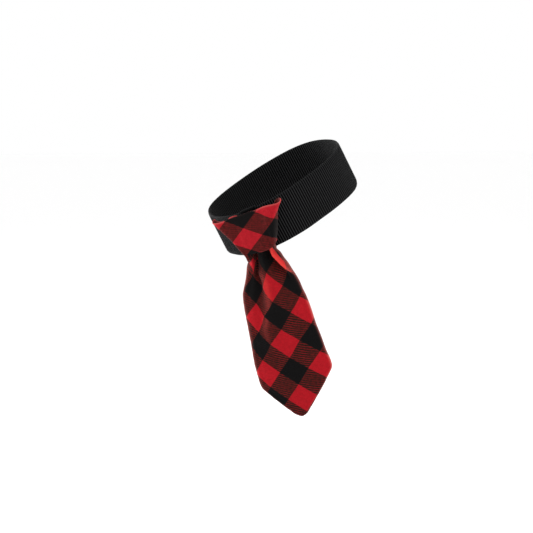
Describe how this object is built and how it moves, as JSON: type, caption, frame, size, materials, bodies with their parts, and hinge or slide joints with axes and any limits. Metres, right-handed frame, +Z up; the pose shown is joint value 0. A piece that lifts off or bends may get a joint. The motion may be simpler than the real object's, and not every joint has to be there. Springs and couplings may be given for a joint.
{
  "type": "dog necktie",
  "caption": "Pet necktie: checked flannel blade pleated into a ready-made knot, on a whole loop of ribbed elastic collar, in its worn form.",
  "frame": {"origin": "middle of the collar loop, where the wearer's neck runs through", "axes": "-Y is the way the wearer looks, +Z is up, +X is the wearer's left; the collar's axis leans 31 degrees from +Z towards -Y"},
  "size_m": [0.1206, 0.1445, 0.2492],
  "materials": {
    "elastic": "matt black woven elastic with cross ribs",
    "flannel": "brushed cotton flannel in red and black buffalo check"
  },
  "bodies": {
    "root": {"collar_band": "elastic", "keeper_loop": "elastic", "knot_wrap": "flannel", "blade": "flannel"}
  },
  "joints": []
}
